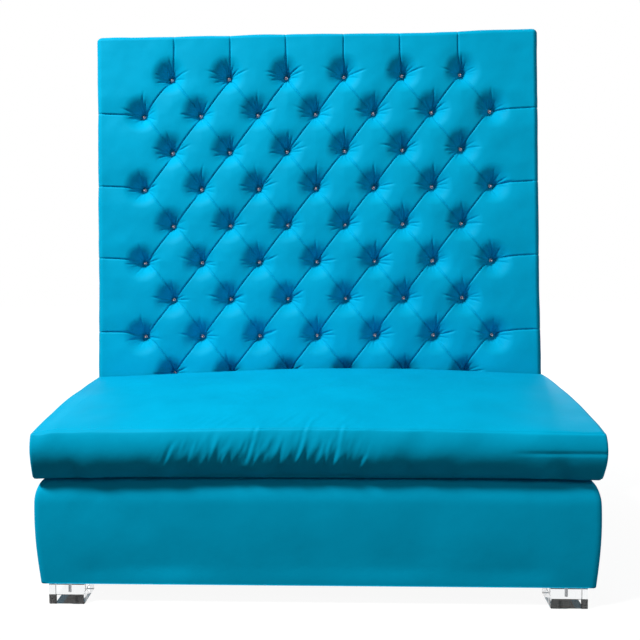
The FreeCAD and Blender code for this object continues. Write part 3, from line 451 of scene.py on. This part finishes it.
def pit_depths(x, up):
    """Depth of the funnels round the buttons and of the creases that run out of them."""
    rng = np.random.RandomState(11)
    funnels = np.zeros(x.shape)
    creases = np.zeros(x.shape)
    for bx, bu, _, _ in button_places():
        window = np.hypot(x - bx, up - bu) < HOLLOW_REACH + PIT_FLOOR
        dx, du = x[window] - bx, up[window] - bu
        r = np.hypot(dx, du)
        past = np.maximum(r - PIT_FLOOR, 0)
        hollow = np.maximum(1 - past / HOLLOW_REACH, 0) ** 2
        upward = np.maximum(du / np.maximum(r, TINY), 0) ** 2
        throat = np.maximum(1 - past / (THROAT_REACH + THROAT_RISE * upward), 0) ** THROAT_POWER
        funnels[window] += (HOLLOW_DEPTH * hollow + THROAT_DEPTH * throat) ** PIT_BLEND
        total = np.zeros(r.shape)
        for angle, length in WHISKERS:
            turn = math.radians(angle + rng.uniform(-7, 7))
            length = length * rng.uniform(0.75, 1.2)
            strength = rng.uniform(0.5, 1.15) * (1.2 if length > LONG_WHISKER else 0.9)
            bend = rng.uniform(-2.0, 2.0)
            ahead = dx * math.cos(turn) + du * math.sin(turn)
            aside = du * math.cos(turn) - dx * math.sin(turn) - bend * ahead * ahead
            width = WHISKER_WIDTH * (0.8 + WHISKER_WIDENING * np.maximum(ahead, 0))
            shape = np.exp(-(aside / width) ** 2) * (ahead > 0)
            starting = smooth_step((ahead - WHISKER_START) / WHISKER_RAMP)
            fading = 1 - smooth_step((ahead - length * FADE_FROM) / (length * (1 - FADE_FROM)))
            total += strength * shape * starting * fading
        creases[window] += total
    return funnels ** (1 / PIT_BLEND), WHISKER_DEPTH * creases


def tuft_depth(x, up):
    """How deep the front of the back lies below its crowns."""
    rolls, crevices = fold_depths(x, up)
    funnels, creases = pit_depths(x, up)
    depth = rolls + crevices + funnels + creases
    return np.minimum(depth, PIT_DEPTH)


def back_cover():
    """The buttoned cover with the walls that wrap the sides and the top."""
    across = lines(-HALF_WIDTH, HALF_WIDTH, BACK_CELL)
    wings_up = lines(WING_FOOT, PAD_FOOT, PANEL_CELL)[:-1]
    up = np.concatenate([wings_up, lines(PAD_FOOT, BACK_TOP, BACK_CELL)])
    pad_deep = lines(0.0, WING_DEPTH, WALL_CELL)[:-1]
    deep = np.concatenate([pad_deep, lines(WING_DEPTH, COVER_REAR, WALL_CELL)])
    points, quads = box_surface((across, deep, up), ("-y", "-x", "+x", "+z", "+y"))
    middle = points[quads].mean(axis=1)
    side_rim = HALF_WIDTH - np.abs(middle[:, 0]) < COVER_WALL
    on_rim = side_rim | (BACK_TOP - middle[:, 2] < COVER_WALL)
    on_rear = np.isclose(points[quads][..., 1].min(axis=1), COVER_REAR) & ~on_rim
    below = (middle[:, 2] < PAD_FOOT) & (middle[:, 1] < WING_DEPTH)
    quads = quads[~(on_rear | below)]
    points, quads = without_spare(points, quads)
    low = (-HALF_WIDTH, 0.0, WING_FOOT - 1)
    high = (HALF_WIDTH, COVER_REAR + 1, BACK_TOP)
    placed, outward = rounded_box(points, low, high, EDGE_RADII)
    x, depth, height = points[:, 0], points[:, 1], points[:, 2]

    # The turned-in rim at the rear lies flat
    inside = (np.abs(x) < HALF_WIDTH - TINY) & (height < BACK_TOP - TINY)
    turned_in = np.isclose(depth, COVER_REAR) & inside
    placed[turned_in] = points[turned_in]
    outward[turned_in] = 0.0

    # The tufting fades out round the front edges, and the cloth wanders a little
    tufts = tuft_depth(x, height)
    from_edge = np.minimum(HALF_WIDTH - np.abs(x), BACK_TOP - height)
    weight = EDGE_SHARE + (1 - EDGE_SHARE) * smooth_step(from_edge / EDGE_FADE)
    weight = weight * np.exp(-(depth / WALL_FADE) ** 2)
    wander = 0.0012 * soft_noise(points, 0.09, 3) + 0.0005 * soft_noise(points, 0.03, 4)
    wander *= smooth_step(height / 0.35) * np.exp(-(depth / 0.09) ** 2)
    placed = placed - outward * (tufts * weight + wander)[:, None]
    near_top = smooth_step((height - 1.36) / 0.15)
    placed[:, 2] -= TOP_SAG * np.exp(-((x - SAG_PLACE) / SAG_REACH) ** 2) * near_top
    placed[:, 0] *= 1 + FOOT_SPREAD / HALF_WIDTH * smooth_step((0.75 - height) / 0.3)
    piece = mesh_piece("buttoned_back_cover", leaned(placed), quads, FABRIC)
    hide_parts("tufted_back_cover")
    return piece


def back_panel():
    """Fabric panel that closes the rear, a little padded, with its edge turned in."""
    across = lines(-HALF_WIDTH + PANEL_MARGIN, HALF_WIDTH - PANEL_MARGIN, PANEL_CELL)
    up = lines(WING_FOOT, BACK_TOP - PANEL_MARGIN, PANEL_CELL)
    deep = np.array([0.0, PANEL_THICKNESS / 2, PANEL_THICKNESS])
    points, quads = box_surface((across, deep, up), tuple(FACE_AXES))
    low = points.min(axis=0)
    high = points.max(axis=0)
    placed, _ = rounded_box(points, low, high, (0.004, 0.0014, 0.004))
    from_edge = np.minimum(high[0] - np.abs(points[:, 0]), high[2] - points[:, 2])
    swell = smooth_step(from_edge / 0.05)
    rear = points[:, 1] > PANEL_THICKNESS * 0.9
    waves = soft_noise(points * np.array([1, 0, 0.4]), 0.16, 21)
    bulge = rear * swell * (0.0025 + 0.0012 * waves)
    placed[:, 1] += COVER_REAR + bulge
    piece = mesh_piece("fabric_back_panel", leaned(placed), quads, FABRIC)
    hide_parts("outside_back_panel")
    return piece


BUTTON_SIDES = 8
BUTTON_TILT = 0.10
BUTTON_HEIGHT = 0.007
# Rings of a button from its setting up to the table of its stone: radius and rise
BUTTON_RINGS = (
    (0.0060, 0.0), (0.0060, 0.0026), (0.0050, 0.0030), (0.0047, 0.0024), (0.0045, 0.0036), (0.0025, 0.0060),
)


def crystal_buttons():
    """Foiled faceted stones, each in a shallow setting and tilted a little."""
    sides = BUTTON_SIDES
    last_ring = len(BUTTON_RINGS) - 1
    points = []
    faces = []
    for x, up, row, k in button_places():
        spin = 0.4 * math.sin(row * 3.1 + k * 1.7)
        tilt_x = BUTTON_TILT * math.sin(row * 1.3 + k * 2.9)
        tilt_u = BUTTON_TILT * math.cos(row * 2.3 + k * 1.1)
        base = len(points)
        for level, (radius, rise) in enumerate(BUTTON_RINGS):
            half_turn = 0.5 if level == last_ring else 0.0
            for i in range(sides):
                turn = 2 * math.pi * (i + half_turn) / sides + spin
                a, b = radius * math.cos(turn), radius * math.sin(turn)
                tilted = (a * tilt_x + b * tilt_u) * rise / BUTTON_HEIGHT
                points.append((x + a, PIT_DEPTH - rise - tilted, up + b))
        for level in range(last_ring):
            lower, upper = base + level * sides, base + (level + 1) * sides
            for i in range(sides):
                j = (i + 1) % sides
                if level == last_ring - 1:
                    faces.append((lower + i, upper + i, lower + j))
                    faces.append((lower + j, upper + i, upper + j))
                else:
                    faces.append((lower + i, upper + i, upper + j, lower + j))
        faces.append(tuple(base + i for i in range(sides)))
        faces.append(tuple(base + last_ring * sides + i for i in reversed(range(sides))))
    material = NODE_MATERIALS["crystal"]
    piece = mesh_piece("foiled_crystal_buttons", leaned(np.array(points)), faces, material, smooth=False)
    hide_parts("crystal_buttons")
    return piece


# The base
BASE_FRONT = -0.3865
BASE_REAR = 0.2975
BASE_HEIGHT = SEAT_TOP - FOOT_HEIGHT
BASE_CELL = 0.008
BASE_CORNERS = (0.011, 0.011, 0.018)
BASE_ROUND = 0.062
BASE_ROUND_SHARE = 0.5
BASE_NARROWING = 0.006
BASE_SETBACK = 0.006
BASE_SIDE_SWELL = 0.007
BASE_FRONT_SWELL = 0.003
FRONT_REACH = 0.10
BROAD_DIMPLE = 0.0030
FINE_DIMPLE = 0.0010
DIMPLE_SINK = 0.003
DECK_SINK = 0.0015
SQUARE_FROM = 0.15
SQUARE_REACH = 0.09
CLEARANCE = 0.0005


def base_cover():
    """Padded cover of the base: soft top edges, rounded corners, slight dimples."""
    across = lines(-HALF_WIDTH, HALF_WIDTH, BASE_CELL)
    along = lines(BASE_FRONT, BASE_REAR, BASE_CELL)
    up = edged_lines(FOOT_HEIGHT, SEAT_TOP, 0.007, 0.004, 0.03)
    points, quads = box_surface((across, along, up), tuple(FACE_AXES))
    low = points.min(axis=0) - np.array([0, 0, 1])
    high = points.max(axis=0) + np.array([0, 1, 0])
    placed, outward = rounded_box(points, low, high, BASE_CORNERS)

    # The top edges round over, and the sides swell and narrow towards the floor
    drop = SEAT_TOP - placed[:, 2]
    share = drop / BASE_HEIGHT
    swell = np.sin(math.pi * np.clip(share, 0, 1))
    short_of_round = np.clip(BASE_ROUND - drop, 0, BASE_ROUND)
    inward = BASE_ROUND_SHARE * (BASE_ROUND - np.sqrt(BASE_ROUND ** 2 - short_of_round ** 2))
    placed[:, 0] *= 1 - inward / HALF_WIDTH
    placed[:, 0] *= 1 - share * BASE_NARROWING / HALF_WIDTH
    placed[:, 0] *= 1 + BASE_SIDE_SWELL * swell / HALF_WIDTH
    near_front = smooth_step((FRONT_REACH - (points[:, 1] - BASE_FRONT)) / FRONT_REACH)
    placed[:, 1] += (inward - BASE_FRONT_SWELL * swell) * near_front
    placed[:, 1] += share * BASE_SETBACK * smooth_step((SQUARE_FROM - points[:, 1]) / 0.4)

    # The cloth dimples on the walls and lies level on the deck
    broad = soft_noise(points * np.array([1, 1, 1.4]), 0.19, 31)
    fine = soft_noise(points, 0.07, 32)
    dimple = BROAD_DIMPLE * broad + FINE_DIMPLE * fine
    hem = smooth_step((points[:, 2] - FOOT_HEIGHT) / 0.05)
    hem *= smooth_step((0.62 - np.abs(points[:, 0])) / 0.1)
    level = np.clip(outward[:, 2], 0, 1)
    sink = (dimple + DIMPLE_SINK) * hem * (1 - level) + DECK_SINK * level
    placed -= outward * sink[:, None]

    # Towards the rear the walls run out square and lean with the back that they meet
    square = smooth_step((points[:, 1] - SQUARE_FROM) / SQUARE_REACH)
    placed[:, 0] += (points[:, 0] - placed[:, 0]) * square
    placed[:, 2] += (points[:, 2] - 0.001 * level - placed[:, 2]) * square
    lean_y = CROWN_FOOT + WING_DEPTH * SLOPE + placed[:, 2] * RAKE
    behind = np.clip((points[:, 1] - SQUARE_FROM) / (BASE_REAR - SQUARE_FROM), 0, 1)
    placed[:, 1] += behind * (lean_y - CLEARANCE - BASE_REAR)
    piece = mesh_piece("padded_base_cover", placed, quads, FABRIC)
    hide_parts("base_cover")
    return piece


# The bench cushion
# Each pucker of the front boxing: place across, share of the height at its top and foot, how far it
# leans to the left on its way down, its depth and how far it runs on over the top
PUCKERS = (
    (-0.322, 0.85, 0.32, 0.030, 0.0015, 0.0), (-0.205, 0.60, 0.20, 0.014, 0.0016, 0.0),
    (-0.128, 1.00, 0.26, 0.028, 0.0013, 0.03), (-0.060, 0.85, 0.26, 0.018, 0.0012, 0.0),
    (-0.010, 1.00, 0.38, 0.024, 0.0014, 0.09), (0.045, 0.80, 0.24, 0.016, 0.0014, 0.0),
    (0.075, 1.00, 0.28, 0.022, 0.0012, 0.04), (0.130, 0.55, 0.22, 0.014, 0.0013, 0.0),
)
PUCKER_WIDTH = 0.0050
CUSHION_FRONT = -0.4145
CUSHION_EDGES = (0.007, 0.006, 0.005)
EDGE_REACH = 0.05
FRONT_DRAW = 0.006
FRONT_ARCH = 0.009
NOSE_SWELL = 0.012
NOSE_TUCK = 0.028
SEAM_PULL = 0.0010
SEAM_WIDTH = 0.0028
SEAM_REACH = 0.010
LONG_CREASE_DEPTH = 0.0022
ZIP_CLEARANCE = 0.0012
RUMPLE_DEPTH = 0.0019
RUMPLE_SIZE = 0.014
RUMPLE_SLANT = 0.048


def pucker_heights(x, share, inward):
    """How far the puckers stand out, on the boxing by share of its height and on the top by depth."""
    total = np.zeros(x.shape)
    for place, top, foot, lean, depth, run in PUCKERS:
        along = (top - share) / (top - foot)
        aside = x - (place - lean * along + 0.35 * lean * np.clip(inward / 0.05, 0, 2))
        ends = smooth_step(along / 0.35) * smooth_step((1.15 - along) / 0.45)
        if run:
            over = smooth_step((1.0 - inward / run)) * (share > 0.98)
            ends = np.where(share > 0.98, over, np.maximum(ends, smooth_step((share - top + 0.3) / 0.3)))
        shape = np.exp(-(aside / PUCKER_WIDTH) ** 2) - 1.1 * np.exp(-((aside + 0.009) / PUCKER_WIDTH) ** 2)
        total += depth * shape * ends
    slanted_x = x - RUMPLE_SLANT * share - 0.5 * inward
    slanted_y = 0.030 * share + 0.2 * inward
    slanted = np.stack([slanted_x, slanted_y, np.zeros(x.shape)], axis=-1)
    rumples = soft_noise(slanted, RUMPLE_SIZE, 51) + 0.5 * soft_noise(slanted, RUMPLE_SIZE / 2, 52)
    across = smooth_step((x + 0.42) / 0.16) * smooth_step((0.22 - x) / 0.22)
    upright = smooth_step((share - 0.16) / 0.22) * smooth_step((1.0 - share) / 0.35)
    on_top = 0.45 * (share > 0.98) * np.exp(-((inward - 0.05) / 0.04) ** 2)
    return total + RUMPLE_DEPTH * rumples * across * np.maximum(upright, on_top)


def cushion_top(x, a, b):
    """Lift of the top over a plain box, at shares a from the middle to the ends and b to the rear."""
    arch = np.cos(np.clip(math.pi / 2 * (a - 0.18) / 1.15, -math.pi / 2, math.pi / 2)) ** 1.2
    rise = (0.006 - 0.003 * a + 0.027 * arch) * b ** 1.1
    crown = (0.013 + 0.001 * a + 0.003 * np.cos(a * math.pi / 2)) * (1 - np.abs(2 * b - 1) ** 2.2)
    seam_wave = 0.006 * np.exp(-(x / 0.3) ** 2) - 0.005 * smooth_step((x - 0.3) / 0.35)
    seam_wave -= 0.007 * smooth_step((-0.62 - x) / 0.05)
    return rise + crown + seam_wave * (1 - b)


def cushion_nose(points, c):
    """How far the front boxing swells forward and draws back towards its ragged lower edge."""
    ragged = c + 0.05 * soft_noise(points * np.array([1, 0, 0.3]), 0.045, 43)
    upper = np.clip(ragged, 0, 1)
    return NOSE_SWELL * np.sin(math.pi * upper) ** 0.9 - NOSE_TUCK * (1 - upper) ** 2.1


def cushion_seams(points, c, from_front, from_ends):
    """The cloth's pull in along the seams and its swell beside them."""
    on_top = np.minimum(from_front, from_ends)
    on_walls = np.minimum(points[:, 2], CUSHION_HEIGHT - points[:, 2])
    seam = np.where(c > 0.999, on_top, on_walls)
    seam = np.where(c < 0.001, 1.0, seam)
    drawn_in = -SEAM_PULL * np.exp(-(seam / SEAM_WIDTH) ** 2)
    return drawn_in + SEAM_PULL * (1 - np.exp(-seam / SEAM_REACH))


def cushion():
    """Loose bench cushion: crowned top, boxed sides, seams and puckers."""
    front = CUSHION_FRONT
    rear = CROWN_FOOT - CUSHION_GAP * SLOPE
    across = edged_lines(-CUSHION_HALF, CUSHION_HALF, 0.0035, 0.002, 0.016)
    along = edged_lines(front, rear, 0.006, 0.002, 0.016)
    up = edged_lines(0.0, CUSHION_HEIGHT, 0.004, 0.002, 0.012)
    points, quads = box_surface((across, along, up), tuple(FACE_AXES))
    placed, outward = rounded_box(points, points.min(axis=0), points.max(axis=0), CUSHION_EDGES)

    # Shares of the way from the middle to an end, from front to rear, and from the foot to the seam
    a = points[:, 0] / CUSHION_HALF
    b = (points[:, 1] - front) / (rear - front)
    c = points[:, 2] / CUSHION_HEIGHT
    from_front = points[:, 1] - front
    from_ends = CUSHION_HALF - np.abs(points[:, 0])

    # The crowned top, the nose and the ends
    placed[:, 2] += smooth_step((c - 0.5) / 0.5) * cushion_top(points[:, 0], a, b)
    at_front = smooth_step(1 - from_front / EDGE_REACH)
    bow = at_front * np.cos(a * math.pi / 2)
    placed[:, 1] -= at_front * cushion_nose(points, c)
    placed[:, 1] += FRONT_DRAW * bow
    placed[:, 2] += FRONT_ARCH * bow * np.clip(1 - c, 0, 1) ** 2
    at_left = smooth_step(1 - (points[:, 0] + CUSHION_HALF) / EDGE_REACH)
    at_right = smooth_step(1 - (CUSHION_HALF - points[:, 0]) / EDGE_REACH)
    swell = np.sin(math.pi * np.clip(c, 0, 1)) ** 0.5
    placed[:, 0] -= at_left * (0.001 * swell + 0.001 + 0.006 * (1 - c) ** 3)
    placed[:, 0] += at_right * (0.006 * swell + 0.005)
    placed[:, 2] += CUSHION_FOOT
    placed[:, 1] += RAKE * placed[:, 2] * smooth_step((b - 0.7) / 0.3)

    # The cloth over it, which lies plain along the rear where the zip runs
    wander = 0.0022 * soft_noise(points, 0.13, 41) + 0.0010 * soft_noise(points, 0.05, 42)
    on_boxing = from_front < TINY
    on_front = on_boxing | ((c > 0.98) & (from_front < 0.12))
    puckers = np.where(on_front, pucker_heights(points[:, 0], c, from_front), 0.0)
    crease = np.exp(-((c - 0.58) / 0.035) ** 2) * smooth_step((points[:, 0] - 0.44) / 0.12)
    puckers -= LONG_CREASE_DEPTH * crease * on_boxing
    plain_rear = smooth_step((rear - points[:, 1]) / 0.02)
    cloth = wander * smooth_step(c * 4) + cushion_seams(points, c, from_front, from_ends)
    placed += outward * (cloth * plain_rear + puckers)[:, None]
    placed[:, 1] -= ZIP_CLEARANCE * (1 - plain_rear)
    piece = mesh_piece("bench_cushion", placed, quads, FABRIC, "seat_cushion")
    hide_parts("seat_cushion_cover", "seat_cushion_core")
    return piece


# Floor, light and camera
def seen_rays(tree):
    """1 for the rays that see a surface directly, in a reflection or through glass."""
    path = add_node(tree, "ShaderNodeLightPath")
    reflected = add_node(tree, "ShaderNodeMath", operation="MAXIMUM")
    tree.links.new(path.outputs["Is Camera Ray"], reflected.inputs[0])
    tree.links.new(path.outputs["Is Glossy Ray"], reflected.inputs[1])
    seen = add_node(tree, "ShaderNodeMath", operation="MAXIMUM")
    tree.links.new(reflected.outputs[0], seen.inputs[0])
    tree.links.new(path.outputs["Is Transmission Ray"], seen.inputs[1])
    return seen.outputs[0]


def background_material(name, colour, camera_strength):
    """Diffuse for the light, and near white where the camera or a reflection sees it."""
    material, tree, shader = new_material(name)
    shader.inputs["Base Color"].default_value = (*colour, 1)
    shader.inputs["Roughness"].default_value = 0.9
    shader.inputs["Specular IOR Level"].default_value = 0.0
    place = add_node(tree, "ShaderNodeTexCoord")
    distance = add_node(tree, "ShaderNodeVectorMath", operation="LENGTH")
    tree.links.new(place.outputs["Object"], distance.inputs[0])
    level = add_node(tree, "ShaderNodeMapRange")
    level.inputs["From Min"].default_value = 0.9
    level.inputs["From Max"].default_value = 2.4
    level.inputs["To Min"].default_value = camera_strength
    level.inputs["To Max"].default_value = 1.0
    tree.links.new(distance.outputs["Value"], level.inputs["Value"])
    glow = add_node(tree, "ShaderNodeMath", operation="MULTIPLY")
    tree.links.new(seen_rays(tree), glow.inputs[0])
    tree.links.new(level.outputs["Result"], glow.inputs[1])
    tree.links.new(glow.outputs[0], shader.inputs["Emission Strength"])
    shader.inputs["Emission Color"].default_value = (1, 1, 1, 1)
    return material


FLOOR_HALF = 6.0
FLOOR_LEVEL = -0.0004
FLOOR_GREY = 0.09
FLOOR_GLOW = 0.93


def floor():
    """A pale ground under the feet that keeps the settee's shadow."""
    corners = [(-1, -1), (1, -1), (1, 1), (-1, 1)]
    points = [(x * FLOOR_HALF, y * FLOOR_HALF, FLOOR_LEVEL) for x, y in corners]
    mesh = bpy.data.meshes.new("floor")
    mesh.from_pydata(points, [], [(0, 1, 2, 3)])
    colour = (FLOOR_GREY, FLOOR_GREY, FLOOR_GREY)
    mesh.materials.append(background_material("pale_floor", colour, FLOOR_GLOW))
    piece = bpy.data.objects.new("floor", mesh)
    bpy.context.scene.collection.objects.link(piece)


def surroundings(strength):
    """White behind everything, and a plain level of light from all round."""
    world = bpy.data.worlds.new("studio")
    world.use_nodes = True
    tree = world.node_tree
    background = tree.nodes["Background"]
    background.inputs["Color"].default_value = (1, 1, 1, 1)
    level = add_node(tree, "ShaderNodeMapRange")
    level.inputs["To Min"].default_value = strength
    level.inputs["To Max"].default_value = 1.0
    tree.links.new(seen_rays(tree), level.inputs["Value"])
    tree.links.new(level.outputs["Result"], background.inputs["Strength"])
    bpy.context.scene.world = world


def area_light(name, place, target, size, power):
    """A square lamp that faces a target, its size in metres and its power in watts."""
    data = bpy.data.lights.new(name, "AREA")
    data.shape = "SQUARE"
    data.size = size
    data.energy = power
    light = bpy.data.objects.new(name, data)
    light.location = place
    direction = Vector(target) - Vector(place)
    light.rotation_euler = direction.to_track_quat("-Z", "Y").to_euler()
    bpy.context.scene.collection.objects.link(light)


def camera():
    """The photograph's view: a normal lens about two metres in front, a little to the right."""
    picture = 640.0
    focal = 877.14
    principal = (291.64, 261.96)
    place = Vector((0.05367, -2.4617, 0.98066))
    yaw, pitch, roll = -0.048, 0.066, 0.012
    ahead = Vector((math.sin(yaw) * math.cos(pitch), math.cos(yaw) * math.cos(pitch), -math.sin(pitch)))
    level = Vector((math.cos(yaw), -math.sin(yaw), 0))
    down = ahead.cross(level)
    right = level * math.cos(roll) + down * math.sin(roll)
    up = level * math.sin(roll) - down * math.cos(roll)
    data = bpy.data.cameras.new("photograph_view")
    data.sensor_width = 36.0
    data.lens = focal / picture * data.sensor_width
    data.shift_x = (picture / 2 - principal[0]) / picture
    data.shift_y = -(picture / 2 - principal[1]) / picture
    view = bpy.data.objects.new("photograph_view", data)
    turned = Matrix((right, up, -ahead)).transposed().to_4x4()
    view.matrix_world = Matrix.Translation(place) @ turned
    bpy.context.scene.collection.objects.link(view)
    bpy.context.scene.camera = view


dress_nodes()
camera()
back_cover()
back_panel()
crystal_buttons()
base_cover()
cushion()
floor()
surroundings(0.085)
area_light("key_light", (-2.9, -2.25, 4.7), (0.0, 0.0, 0.7), 0.8, 425.0)
area_light("fill_light", (3.2, -2.6, 2.2), (0.0, 0.0, 0.8), 1.0, 28.0)
area_light("rear_light", (0.7, 3.7, 1.2), (0.0, 0.3, 0.8), 1.2, 120.0)
bpy.context.scene.view_settings.view_transform = "Standard"
